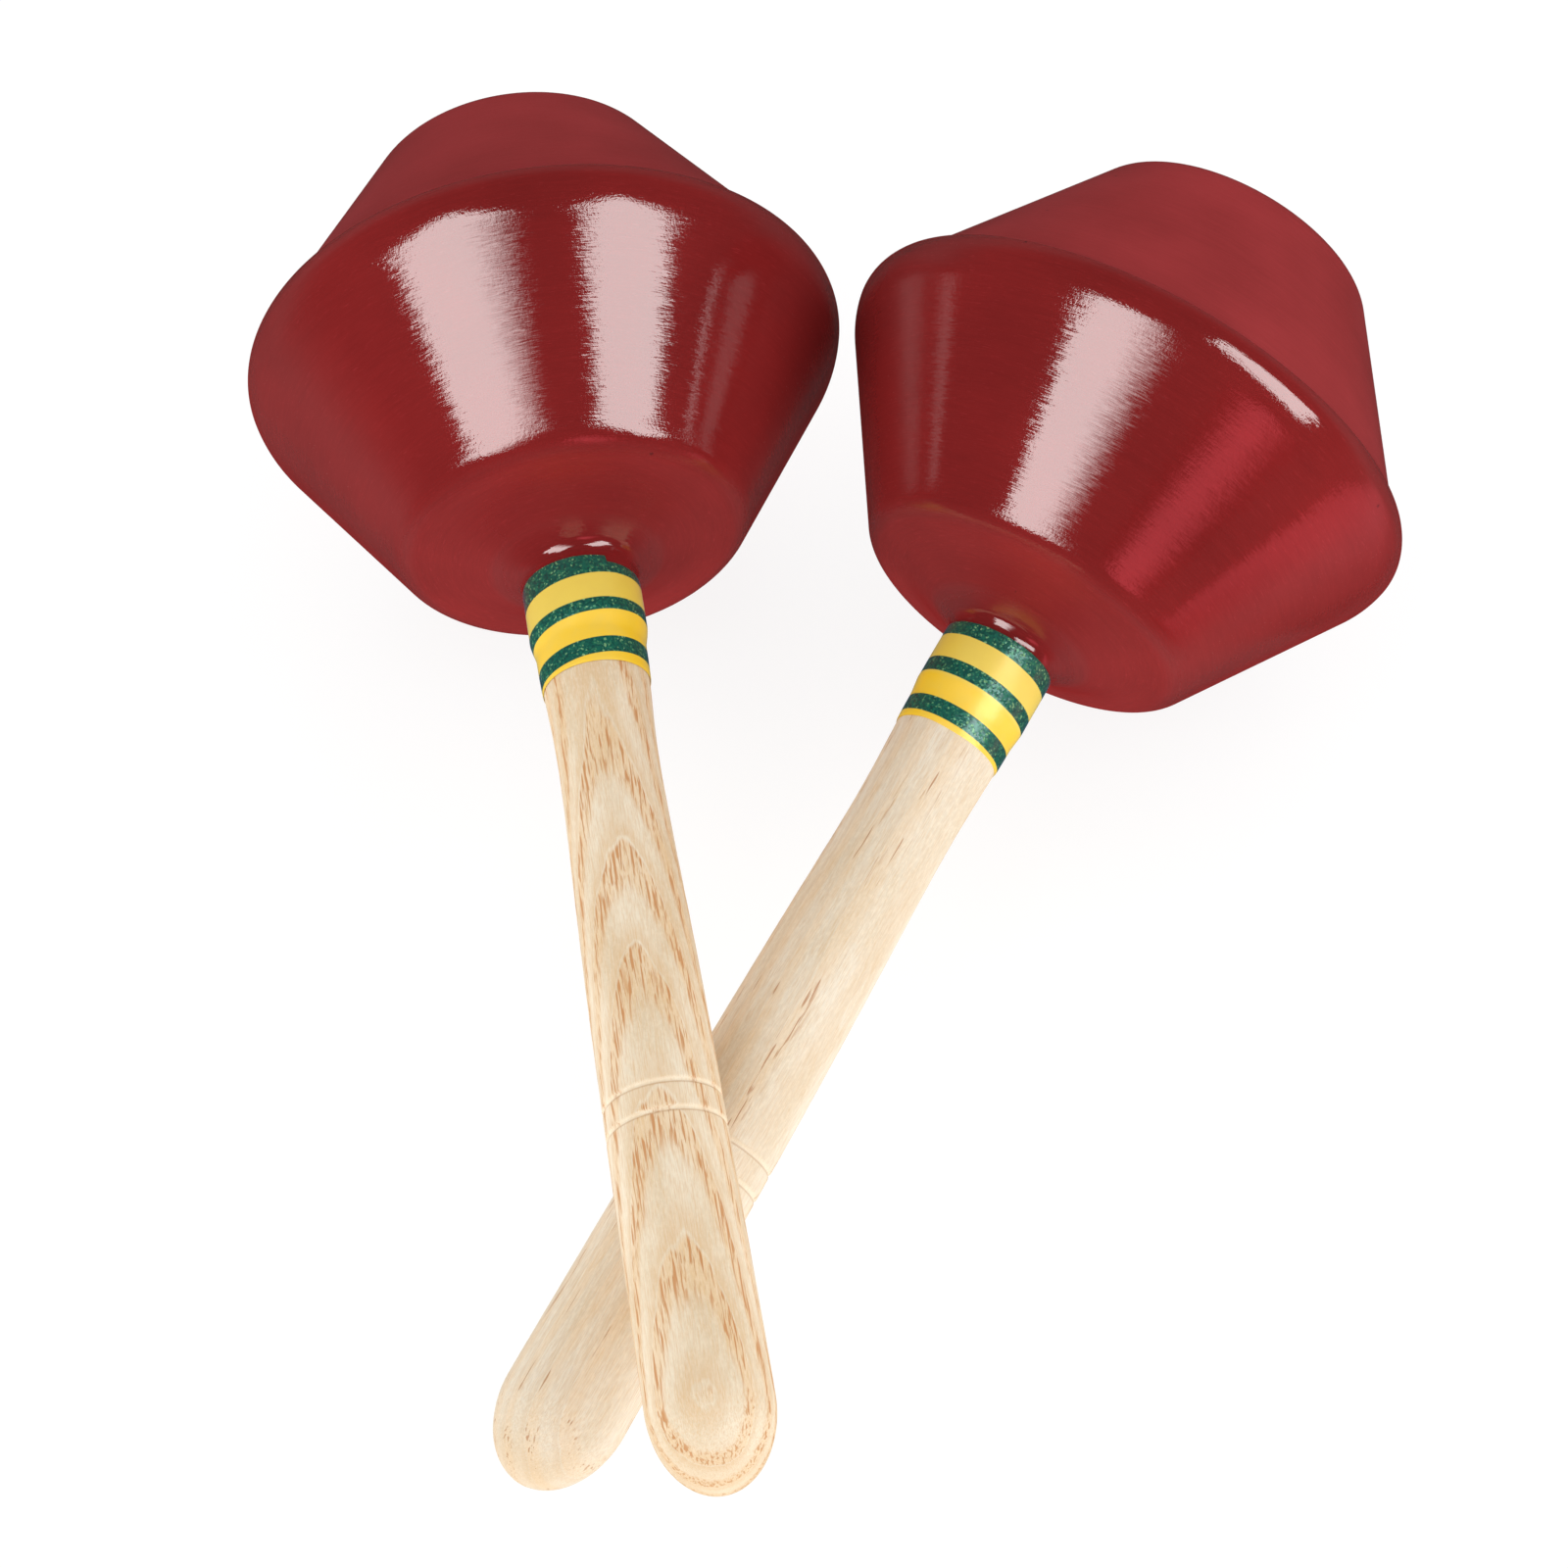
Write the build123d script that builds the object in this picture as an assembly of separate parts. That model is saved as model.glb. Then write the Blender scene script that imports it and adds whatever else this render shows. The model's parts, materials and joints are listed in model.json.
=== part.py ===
from build123d import *
import os
from math import acos, cos, hypot, pi, radians, sin, tan

# Pair of maracas resting on a flat surface: the right one lies on its rim and its butt,
# the left one lies on its rim with its handle across the right one's handle.
# World frame, mm: +Z up, z = 0 is the resting surface, +Y runs from the butts towards
# the heads, -X is left.
#
# Each maraca is first built in its own frame: the long axis is +Z, called s here.
# s = 0 is the plane of the base cup's outer corner, +s goes towards the crown and -s
# down the handle.  Profile points are (r, s) pairs.  Once laid down, +X of that frame
# is the side facing up.

# ------------------------------------------------------------------ head shells
SHEET = 0.5                    # sheet metal thickness

COLLAR_R = 9.25                # outside of the collar round the handle
COLLAR_END_S = -17.5
BASE_CORNER = (27.7, 0.0)      # between base and cone
RIM_LOW = (48.501, 32.949)     # cone starts to bend upright
RIM_CORNER = (49.392, 37.142)  # bend into the shoulder
LIP = (48.0, 39.2)             # edge of the lip
BASE_OUTLINE = [               # outside (r, s) corners, collar end to lip
    (COLLAR_R, COLLAR_END_S),
    (COLLAR_R, -6.2),          # neck, where collar and base meet
    (21.0, -0.8),              # where the base starts to rise to the neck
    BASE_CORNER,
    RIM_LOW,
    RIM_CORNER,
    LIP,
]
BASE_FILLETS = [0, 2.5, 18.0, 6.0, 13.0, 4.6, 0]

HEM_LENGTH = 1.5               # folded hem inside the lip
HEM_OVERLAP = 0.05             # sinks the hem into the cup wall

CROWN_WALL_R = 46.9            # short cylindrical wall under the lip
CROWN_WALL_S = 38.9
CROWN_CORNER = (23.3, 75.7)
FLANGE_R = 48.35               # crown cup flange held under the lip
FLANGE_S = 36.4                # underside of the flange
CROWN_OUTLINE = [              # outside (r, s) corners, flange edge to axis
    (FLANGE_R, FLANGE_S + SHEET),
    (CROWN_WALL_R, FLANGE_S + SHEET),
    (CROWN_WALL_R, CROWN_WALL_S),
    CROWN_CORNER,
    (0.0, CROWN_CORNER[1]),
]
CROWN_FILLETS = [0, 0.4, 3.0, 6.5, 0]

# ---------------------------------------------------------------------- handle
TENON_R = 8.71                 # part of the handle inside the collar
TENON_TOP_S = 1.6
TENON_CHAMFER = 0.8
HANDLE_END_SLOPE = 0.004       # dr per -ds where the side meets the butt
BUTT_LENGTH = 13.6             # elliptical butt beyond the last station
BUTT_ANGLES = (20, 45, 70)     # ellipse angles of the butt's spline points
NUB_R, NUB_H = 1.5, 0.25       # nub on the end of the butt
NUB_ROOT = 1.0                 # length of the nub buried in the butt

GROOVE_DEPTH = 0.35
GROOVE_HALF_FLOOR = 0.08
GROOVE_CUTTER_RISE = 0.6       # how far the cutter stands out of the handle
GROOVE_CUTTER_HALF_MOUTH = 0.855

# (r, s) down the turned handle, from the collar's end to the round butt
HANDLE_LEFT = [
    (8.62, -17.6), (8.60, -23.0), (8.42, -28.5), (8.10, -35.0), (7.93, -42.0),
    (8.00, -49.0), (8.27, -59.0), (8.66, -72.0), (8.95, -84.0), (9.12, -97.0),
    (9.24, -110.0), (9.37, -125.0), (9.50, -138.0), (9.58, -150.0),
]
HANDLE_RIGHT = [
    (8.90, -17.6), (8.88, -22.0), (8.70, -28.0), (8.47, -35.0), (8.40, -41.0),
    (8.50, -48.0), (8.79, -59.0), (9.10, -72.0), (9.32, -84.0), (9.52, -99.0),
    (9.66, -113.0), (9.78, -127.0), (9.88, -139.0), (9.92, -146.5),
]

# ----------------------------------------------------------------- neck brads
BRAD_R = 0.6
BRAD_DEPTH = 5.5               # from the collar's outside inwards
BRAD_ANGLES = (90, 270)        # either side of the upward side
BRAD_CLEARANCE = 0.01          # radial, in the brad holes
BRAD_SUNK = 0.005              # outer end below the collar's outside

# ---------------------------------------------------------------- stripe tape
TAPE_THICKNESS = 0.18
TAPE_STEP = 0.7                # length over which the tape drops off the collar
TAPE_GAP = 0.01                # between the tape and what it wraps
COLLAR_OVERHANG = 0.02         # tape runs this far past the collar's end
TAPE_FILLETS = [0, 0.5, 0.8, 0, 0]
NOTCH_DEPTH = 1.05             # how much lower the top edge is in the notch

# ----------------------------------------------------------------------- shot
SHOT_R = 1.6
SHOT_PITCH = 2 * SHOT_R + 0.12
SHOT_PITCH_FACTOR = 1.01       # widens the pitch measured along the arc
SHOT_INSET = 1.25 * SHOT_R + 0.1   # pellet centre in from the head's wall
SHOT_ROWS = [(29.4, 12), (33.0, 13), (36.6, 11)]   # (s, number of pellets)

# ---------------------------------------------------------------- the two maracas
# azimuth: plan angle of the long axis from +Y towards +X, degrees
# base_xy: where the s = 0 point lies; tape: its top and bottom s
# notch: start and end angle of the lower part of the tape's top edge, degrees
LEFT = {
    "side": "left",
    "azimuth": -7.41,
    "base_xy": (-32.6, 434.1),
    "handle": HANDLE_LEFT,
    "grooves": (-101.9, -106.6),
    "brads_s": -13.4,
    "tape": (-8.46, -27.85),
    "notch": (27.0, 205.0),
}
RIGHT = {
    "side": "right",
    "azimuth": 31.21,
    "base_xy": (38.9, 420.9),
    "handle": HANDLE_RIGHT,
    "grooves": (-100.7, -105.4),
    "brads_s": -12.8,
    "tape": (-7.95, -25.8),
    "notch": (200.0, 250.0),
}
HANDLE_TOUCH_GAP = 0.05        # left handle over right handle


# ------------------------------------------------------------ profile helpers
# A profile is a list of pieces: (start, end) is a line, (start, middle, end) an arc.
def direction(start, end):
    """Unit vector from start to end."""
    dr, ds = end[0] - start[0], end[1] - start[1]
    length = hypot(dr, ds)
    return (dr / length, ds / length)


def left_of(heading):
    return (-heading[1], heading[0])


def moved(point, heading, distance):
    return (point[0] + heading[0] * distance, point[1] + heading[1] * distance)


def polyline(points):
    return list(zip(points, points[1:]))


def polygon(points):
    return polyline(points + points[:1])


def rounded(points, radii):
    """Pieces along a polyline; radii has one fillet per point, 0 for a sharp corner."""
    pieces, start = [], points[0]
    for before, corner, after, radius in zip(points, points[1:], points[2:], radii[1:]):
        if radius <= 0:
            pieces.append((start, corner))
            start = corner
            continue
        back = direction(corner, before)
        ahead = direction(corner, after)
        half_angle = acos(back[0] * ahead[0] + back[1] * ahead[1]) / 2
        setback = radius / tan(half_angle)
        arc_start = moved(corner, back, setback)
        arc_end = moved(corner, ahead, setback)
        bisector = direction((0, 0), moved(back, ahead, 1))
        arc_middle = moved(corner, bisector, radius / sin(half_angle) - radius)
        if hypot(arc_start[0] - start[0], arc_start[1] - start[1]) > 1e-6:
            pieces.append((start, arc_start))
        pieces.append((arc_start, arc_middle, arc_end))
        start = arc_end
    pieces.append((start, points[-1]))
    return pieces


def offset_points(points, distance):
    """Corners of the same polyline moved to the left of its travel."""
    lines = []
    for start, end in polyline(points):
        heading = direction(start, end)
        lines.append((moved(start, left_of(heading), distance), heading))
    corners = [lines[0][0]]
    for (p, u), (q, v) in polyline(lines):
        cross = u[0] * v[1] - u[1] * v[0]
        along = ((q[0] - p[0]) * v[1] - (q[1] - p[1]) * v[0]) / cross
        corners.append(moved(p, u, along))
    corners.append(moved(points[-1], left_of(lines[-1][1]), distance))
    return corners


def edges_of(pieces):
    edges = []
    for piece in pieces:
        points = [Vector(r, 0, s) for r, s in piece]
        make_edge = Edge.make_line if len(points) == 2 else Edge.make_three_point_arc
        edges.append(make_edge(*points))
    return edges


def turned(edges, angle=360):
    """Closed loop of edges revolved about the long axis."""
    return revolve(Face(Wire(edges)), Axis.Z, angle)


def shell(outline, fillets):
    """Turned sheet metal cup; the sheet lies to the left of the outline's travel."""
    outer = rounded(outline, fillets)
    # on the inside the first fillet grows by the sheet thickness, the others shrink
    inner_fillets = [0, fillets[1] + SHEET, *(f - SHEET for f in fillets[2:-1]), 0]
    inner = rounded(offset_points(outline, SHEET), inner_fillets)
    loop = outer + [(outer[-1][-1], inner[-1][-1])]
    loop += [piece[::-1] for piece in reversed(inner)]
    loop.append((inner[0][0], outer[0][0]))
    return turned(edges_of(loop))


def radius_between(upper, lower, s):
    """Radius at s on the straight line through two (r, s) points."""
    (r0, s0), (r1, s1) = upper, lower
    return r0 + (r1 - r0) * (s - s0) / (s1 - s0)


def handle_radius(maraca, s):
    """Handle radius at s; outside the table it is the last station's radius."""
    stations = maraca["handle"]
    for upper, lower in polyline(stations):
        if lower[1] <= s <= upper[1]:
            return radius_between(upper, lower, s)
    return stations[-1][0]


def butt_point(maraca, angle):
    """Point on the elliptical butt: 0 degrees at its side, 90 at its tip."""
    end_r, end_s = maraca["handle"][-1]
    return (end_r * cos(radians(angle)), end_s - BUTT_LENGTH * sin(radians(angle)))


# --------------------------------------------------------------------- pieces
def brad(maraca, angle, radius, outer_end):
    inner_end = COLLAR_R - BRAD_DEPTH
    pin = Rot(0, 90, 0) * Cylinder(radius, outer_end - inner_end)
    return Rot(0, 0, angle) * Pos((outer_end + inner_end) / 2, 0, maraca["brads_s"]) * pin


def neck_brads(maraca):
    return [brad(maraca, angle, BRAD_R, COLLAR_R - BRAD_SUNK) for angle in BRAD_ANGLES]


def drill_brad_holes(body, maraca, outer_end):
    for angle in BRAD_ANGLES:
        body = body - brad(maraca, angle, BRAD_R + BRAD_CLEARANCE, outer_end)
    return body


def base_cup(maraca):
    """Collar, base and cone, with a hem folded back inside the lip."""
    cup = shell(BASE_OUTLINE, BASE_FILLETS)
    heading = direction(RIM_CORNER, LIP)
    lip_inside = offset_points(BASE_OUTLINE, SHEET)[-1]

    def hem_corner(inwards, back):
        return moved(moved(lip_inside, left_of(heading), inwards), heading, -back)

    hem = turned(edges_of(polygon([
        hem_corner(-HEM_OVERLAP, 0),
        hem_corner(SHEET, 0),
        hem_corner(SHEET, HEM_LENGTH),
        hem_corner(-HEM_OVERLAP, HEM_LENGTH),
    ])))
    return drill_brad_holes(cup + hem, maraca, COLLAR_R + 1)


def groove_cutter(maraca, s):
    """Tapered ring, widest on the outside."""
    surface = handle_radius(maraca, s)
    mouth_r, floor_r = surface + GROOVE_CUTTER_RISE, surface - GROOVE_DEPTH
    return turned(edges_of(polygon([
        (mouth_r, s - GROOVE_CUTTER_HALF_MOUTH),
        (mouth_r, s + GROOVE_CUTTER_HALF_MOUTH),
        (floor_r, s + GROOVE_HALF_FLOOR),
        (floor_r, s - GROOVE_HALF_FLOOR),
    ])))


def handle(maraca):
    stations = maraca["handle"]
    tip = stations[-1][1] - BUTT_LENGTH
    end_tangent = Vector(HANDLE_END_SLOPE, 0, -1)
    side_points = [Vector(r, 0, s) for r, s in stations]
    side = Edge.make_spline(side_points, tangents=[Vector(0, 0, -1), end_tangent])
    butt_points = []
    for angle in BUTT_ANGLES:
        r, s = butt_point(maraca, angle)
        butt_points.append(Vector(r, 0, s))
    butt = Edge.make_spline(
        [side_points[-1], *butt_points, Vector(0, 0, tip)],
        tangents=[end_tangent, Vector(-1, 0, 0)],
    )
    axis_and_tenon = polyline([
        (0.0, tip),
        (0.0, TENON_TOP_S),
        (TENON_R - TENON_CHAMFER, TENON_TOP_S),
        (TENON_R, TENON_TOP_S - TENON_CHAMFER),
        (TENON_R, stations[0][1]),
        stations[0],
    ])
    body = turned(edges_of(axis_and_tenon) + [side, butt])
    for s in maraca["grooves"]:
        body = body - groove_cutter(maraca, s)
    nub_length = NUB_ROOT + NUB_H
    body = body + Pos(0, 0, tip + NUB_ROOT - nub_length / 2) * Cylinder(NUB_R, nub_length)
    return drill_brad_holes(body, maraca, COLLAR_R)


def stripe_tape(maraca):
    """Tape round the collar, dropping off its end onto the handle."""
    top, bottom = maraca["tape"]
    collar_r = COLLAR_R + TAPE_GAP
    step_s = COLLAR_END_S - TAPE_STEP
    middle_s = (COLLAR_END_S + bottom) / 2
    step_r, middle_r, bottom_r = (
        handle_radius(maraca, s) + TAPE_GAP for s in (step_s, middle_s, bottom)
    )
    # a hollow in the handle is bridged
    middle_r = max(middle_r, (step_r + bottom_r) / 2)
    # the small additions keep the tape clear of the handle's curve
    inner = [
        (collar_r, top),
        (collar_r, COLLAR_END_S - COLLAR_OVERHANG),
        (step_r + 0.02, step_s),
        (middle_r + 0.02, middle_s),
        (bottom_r + 0.03, bottom),
    ]
    outer = [(r + TAPE_THICKNESS, s) for r, s in inner]
    closing = polyline([outer[-1], *reversed(inner), outer[0]])
    tape = turned(edges_of(rounded(outer, TAPE_FILLETS) + closing))

    # the top edge sits lower over part of the way round
    start_angle, end_angle = maraca["notch"]
    cut_in, cut_out = collar_r - 0.005, collar_r + 1.0
    cut_low, cut_high = top - NOTCH_DEPTH, top + 0.5
    notch = turned(edges_of(polygon([
        (cut_in, cut_low),
        (cut_out, cut_low),
        (cut_out, cut_high),
        (cut_in, cut_high),
    ])), end_angle - start_angle)
    return tape - Rot(0, 0, start_angle) * notch


def head_inner_radius(s):
    """Inside radius of the closed head at s, fillets left out."""
    radii = [CROWN_WALL_R - SHEET]
    for low, high in ((BASE_CORNER, RIM_LOW), ((CROWN_WALL_R, CROWN_WALL_S), CROWN_CORNER)):
        dr, ds = high[0] - low[0], high[1] - low[1]
        radii.append(radius_between(low, high, s) - SHEET * hypot(dr, ds) / ds)
    return min(radii)


def shot():
    """Rows of pellets along the inside of the head, centred on its downward side."""
    pellets = []
    for s, count in SHOT_ROWS:
        r = min(head_inner_radius(s + ds) for ds in (-SHOT_R, 0, SHOT_R)) - SHOT_INSET
        angle_step = SHOT_PITCH / r * SHOT_PITCH_FACTOR
        for k in range(count):
            angle = pi + (k - (count - 1) / 2) * angle_step
            pellets.append(Pos(r * cos(angle), r * sin(angle), s) * Sphere(SHOT_R))
    return pellets


# ------------------------------------------------------------- laying the pair
def sampled(outline, fillets, steps=24):
    """(r, s) points spaced along each piece of a rounded outline."""
    points = []
    for edge in edges_of(rounded(outline, fillets)):
        for k in range(steps + 1):
            point = edge @ (k / steps)
            points.append((point.X, point.Z))
    return points


HEAD_POINTS = sampled(BASE_OUTLINE, BASE_FILLETS) + sampled(CROWN_OUTLINE, CROWN_FILLETS)


def lowest(points, tilt):
    """Lowest height of a turned profile, relative to its s = 0 point, when tilted."""
    return min(s * sin(tilt) - r * cos(tilt) for r, s in points)


def bisect(low_degrees, high_degrees, too_low):
    """Tilt in radians at which too_low(tilt) turns from true to false."""
    low, high = radians(low_degrees), radians(high_degrees)
    for _ in range(60):
        middle = (low + high) / 2
        if too_low(middle):
            low = middle
        else:
            high = middle
    return (low + high) / 2


def laid(maraca, tilt):
    """Base point and axis of a maraca with its head on the surface, tilted head-up."""
    azimuth = radians(maraca["azimuth"])
    axis = Vector(sin(azimuth) * cos(tilt), cos(azimuth) * cos(tilt), sin(tilt))
    return Vector(*maraca["base_xy"], -lowest(HEAD_POINTS, tilt)), axis


def handle_gap(left, right):
    """Gap between the two handles' surfaces where they cross."""
    (left_base, left_axis), (right_base, right_axis) = left, right
    between = left_base - right_base
    axis_gap = abs(between.dot(left_axis.cross(right_axis).normalized()))
    cosine = left_axis.dot(right_axis)
    on_left, on_right = between.dot(left_axis), between.dot(right_axis)
    left_s = (cosine * on_right - on_left) / (1 - cosine * cosine)
    right_s = (on_right - cosine * on_left) / (1 - cosine * cosine)
    return axis_gap - handle_radius(LEFT, left_s) - handle_radius(RIGHT, right_s)


def build(maraca, base, axis):
    """All pieces of one maraca in place, as lists of solids by piece name."""
    up = (Vector(0, 0, 1) - axis * axis.Z).normalized()
    place = Plane(origin=base, x_dir=up, z_dir=axis).location
    pieces = {
        "base_cup": [base_cup(maraca)],
        "crown_cup": [shell(CROWN_OUTLINE, CROWN_FILLETS)],
        "handle": [handle(maraca)],
        "stripe_tape": [stripe_tape(maraca)],
        "neck_brads": neck_brads(maraca),
        "shot": shot(),
    }
    return {
        maraca["side"] + "_" + name: [place * solid for solid in solids]
        for name, solids in pieces.items()
    }


# right: tilted head-up until rim and butt both touch the surface
right_butt = [butt_point(RIGHT, angle) for angle in range(0, 91, 2)]
right_tilt = bisect(
    2, 30, lambda tilt: lowest(HEAD_POINTS, tilt) < lowest(right_butt, tilt)
)
right_laid = laid(RIGHT, right_tilt)

# left: tilted head-up until its handle comes down onto the right one
left_tilt = bisect(
    -5, 14, lambda tilt: handle_gap(laid(LEFT, tilt), right_laid) > HANDLE_TOUCH_GAP
)

parts = build(RIGHT, *right_laid)
parts.update(build(LEFT, *laid(LEFT, left_tilt)))

# origin: centre of the pair's box, on the resting surface
box = Compound([solid for solids in parts.values() for solid in solids]).bounding_box(
    optimal=True
)
to_origin = Pos(-(box.min.X + box.max.X) / 2, -(box.min.Y + box.max.Y) / 2, 0)

os.makedirs("parts", exist_ok=True)
for name, solids in parts.items():
    solids = [to_origin * solid for solid in solids]
    whole = solids[0] if len(solids) == 1 else Compound(solids)
    export_step(whole, "parts/%s.step" % name)
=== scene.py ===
"""A pair of maracas lying on a white table, each with a red base cup and crown cup,
a turned wooden handle and striped tape round the neck.

Every piece is turned about its shaker's own axis: z runs along the axis towards the crown,
x is up, and the origin is where the cone of the base cup starts. Profiles are (r, s) pairs
in mm, radius and place along z; meshes are in metres.
"""

import json
import math

import bpy
import numpy as np
from mathutils import Matrix, Vector

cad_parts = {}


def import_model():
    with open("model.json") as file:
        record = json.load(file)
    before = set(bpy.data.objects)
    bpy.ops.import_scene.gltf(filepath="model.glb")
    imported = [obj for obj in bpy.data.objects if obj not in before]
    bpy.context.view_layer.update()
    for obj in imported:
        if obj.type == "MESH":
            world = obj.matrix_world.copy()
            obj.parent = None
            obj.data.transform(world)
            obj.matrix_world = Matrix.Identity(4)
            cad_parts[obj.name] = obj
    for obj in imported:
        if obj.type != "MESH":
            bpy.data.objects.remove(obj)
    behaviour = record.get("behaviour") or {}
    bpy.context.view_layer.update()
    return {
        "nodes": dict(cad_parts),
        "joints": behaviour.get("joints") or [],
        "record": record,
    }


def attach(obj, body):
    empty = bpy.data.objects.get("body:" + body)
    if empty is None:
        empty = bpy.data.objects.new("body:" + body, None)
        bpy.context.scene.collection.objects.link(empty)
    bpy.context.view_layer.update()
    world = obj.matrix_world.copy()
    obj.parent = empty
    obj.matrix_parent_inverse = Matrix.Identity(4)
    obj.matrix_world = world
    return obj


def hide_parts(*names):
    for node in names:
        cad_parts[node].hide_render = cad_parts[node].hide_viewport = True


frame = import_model()

scene = bpy.context.scene
scene.view_settings.view_transform = "Standard"
scene.view_settings.look = "None"
scene.view_settings.exposure = 0.0
scene.view_settings.gamma = 1.0

mounts = {mount["name"]: mount for mount in frame["record"]["mounts"]}
joints = {joint["name"]: joint for joint in frame["joints"]}

MM = 0.001

# ------------------------------------------------------------------ dimensions, mm
SHEET = 0.5                 # thickness of the cups
CROWN_TOP = 75.7
COLLAR_RADIUS = 9.25        # the drawn collar of the base cup, round the handle
COLLAR_END = -17.5
# r, s, corner radius outside, corner radius inside
BASE_PROFILE = (
    (COLLAR_RADIUS, COLLAR_END, 0, 0),
    (COLLAR_RADIUS, -6.2, 2.5, 3.0),
    (21.0, -0.8, 18.0, 17.5),
    (27.7, 0.0, 6.0, 5.5),
    (48.501, 32.949, 13.0, 12.5),
    (49.392, 37.142, 4.6, 4.1),
    (48.0, 39.2, 0, 0),
)
CROWN_PROFILE = (
    (48.35, 36.9, 0, 0),
    (46.9, 36.9, 0.4, 0.9),
    (46.9, 38.9, 3.0, 2.5),
    (23.3, CROWN_TOP, 6.5, 6.0),
    (0.0, CROWN_TOP, 0, 0),
)
CUP_SEGMENTS = 360

LIP_AIM = (50.3, 35.8)      # the lip leans along the line from here to the rim
LIP_RETURN = 1.1            # how far the folded sheet runs back
LIP_STEPS = 12
LIP_KEEP_BELOW = 30.0       # profile points under this height are never trimmed

TENON_RADIUS, TENON_TOP = 8.71, 1.6
WOOD_TOP = -17.6            # where the handle leaves the collar
FIRST_STATION = -17.62
STATION_STEP = 1.0
GROOVES = (-101.9, -106.6)  # before each side's shift
GROOVE_CLEAR = 0.75         # no plain station this near to a groove
# distance from the groove's middle, change of radius
GROOVE_SECTION = ((0.70, 0), (0.55, -0.02), (0.42, -0.07), (0.28, -0.16), (0.14, -0.23),
                  (0.05, -0.25))
BUTT_LENGTH = 13.6          # the rounded end of the handle
BUTT_STEPS = 40
BUTT_MIN_RADIUS = 1.5
BUTT_TIP = ((1.3, 0.08), (0.9, 0.02), (0.45, 0.0), (0.0, 0.0))   # r, height over the tip
HANDLE_SEGMENTS = 200

# slight unevenness of the handle: amplitude, lobes round it, phase per mm along it
RIPPLES = ((0.018, 2, 0.05), (0.012, 3, -0.11), (0.008, 1, 0.9))
RIPPLE_INSET = 0.03
RIPPLE_TOP, RIPPLE_FADE = -29, 8.0
RIPPLE_MIN_RADIUS, RIPPLE_RADIUS_FADE = 2.5, 3

TAPE_SEGMENTS, TAPE_STEPS = 300, 72
TAPE_THICK = 0.085
TAPE_OUTER_TURN = 0.092     # stand-off of the outer turn
TAPE_EDGE = (0.30, 0.75, 1.0)   # share of the thickness at the edge, next to it, and beyond
TAPE_TUCK = 0.12            # the inner turn starts this far below the outer one
TAPE_ON_COLLAR = 9.26       # radius the tape follows on the collar
TAPE_ON_WOOD = 0.015        # clearance over the wood
TAPE_SPAN = (-21.5, -17.45)  # it bridges from wood to collar between these heights
LEFT_TAPE_NOTCH = (27.0, 205.0, 1.05)   # degrees from, degrees to, depth

# handle: (r, s) stations; shift: of the grooves; slant: of the stripes' borders;
# stripes: s of the tape's top, the five borders between colours, and its lower end
SIDES = {
    "left": {
        "handle": [(8.62, WOOD_TOP), (8.60, -23.0), (8.42, -28.5), (8.10, -35.0),
                   (7.93, -42.0), (8.00, -49.0), (8.27, -59.0), (8.66, -72.0), (8.95, -84.0),
                   (9.12, -97.0), (9.24, -110.0), (9.37, -125.0), (9.50, -138.0),
                   (9.58, -150.0)],
        "shift": 0.0, "seed": 0.0, "slant": 0.09,
        "stripes": (-8.46, -12.0, -16.65, -18.9, -23.6, -26.5, -27.85)},
    "right": {
        "handle": [(8.90, WOOD_TOP), (8.88, -22.0), (8.70, -28.0), (8.47, -35.0),
                   (8.40, -41.0), (8.50, -48.0), (8.79, -59.0), (9.10, -72.0), (9.32, -84.0),
                   (9.52, -99.0), (9.66, -113.0), (9.78, -127.0), (9.88, -139.0),
                   (9.92, -146.5)],
        "shift": 1.2, "seed": 37.0, "slant": -0.055,
        "stripes": (-7.95, -10.7, -15.1, -17.75, -22.1, -25.0, -25.8)},
}


# ------------------------------------------------------------------ frames
def pose(x_axis, y_axis, z_axis, origin):
    """Matrix with the given axes as columns."""
    matrix = Matrix.Identity(4)
    for i in range(3):
        matrix[i] = (x_axis[i], y_axis[i], z_axis[i], origin[i])
    return matrix


def maraca_frame(side):
    crown = Vector(mounts[side + "_crown_face"]["pos_m"])
    axis = Vector(mounts[side + "_crown_face"]["axis"]).normalized()
    up = Vector(joints[side + "_shot_throw"]["axis"]).normalized()
    up = (up - axis * up.dot(axis)).normalized()
    return pose(up, axis.cross(up).normalized(), axis, crown - axis * (CROWN_TOP / 1000))


# ------------------------------------------------------------------ profiles
def unit(x, y):
    length = math.hypot(x, y)
    return x / length, y / length


def heading(start, end):
    return unit(end[0] - start[0], end[1] - start[1])


def slide(point, direction, distance):
    return point[0] + direction[0] * distance, point[1] + direction[1] * distance


def distance(start, end):
    return math.hypot(end[0] - start[0], end[1] - start[1])


def smoothstep(x, low, high):
    t = min(1.0, max(0.0, (x - low) / (high - low)))
    return t * t * (3 - 2 * t)


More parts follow.
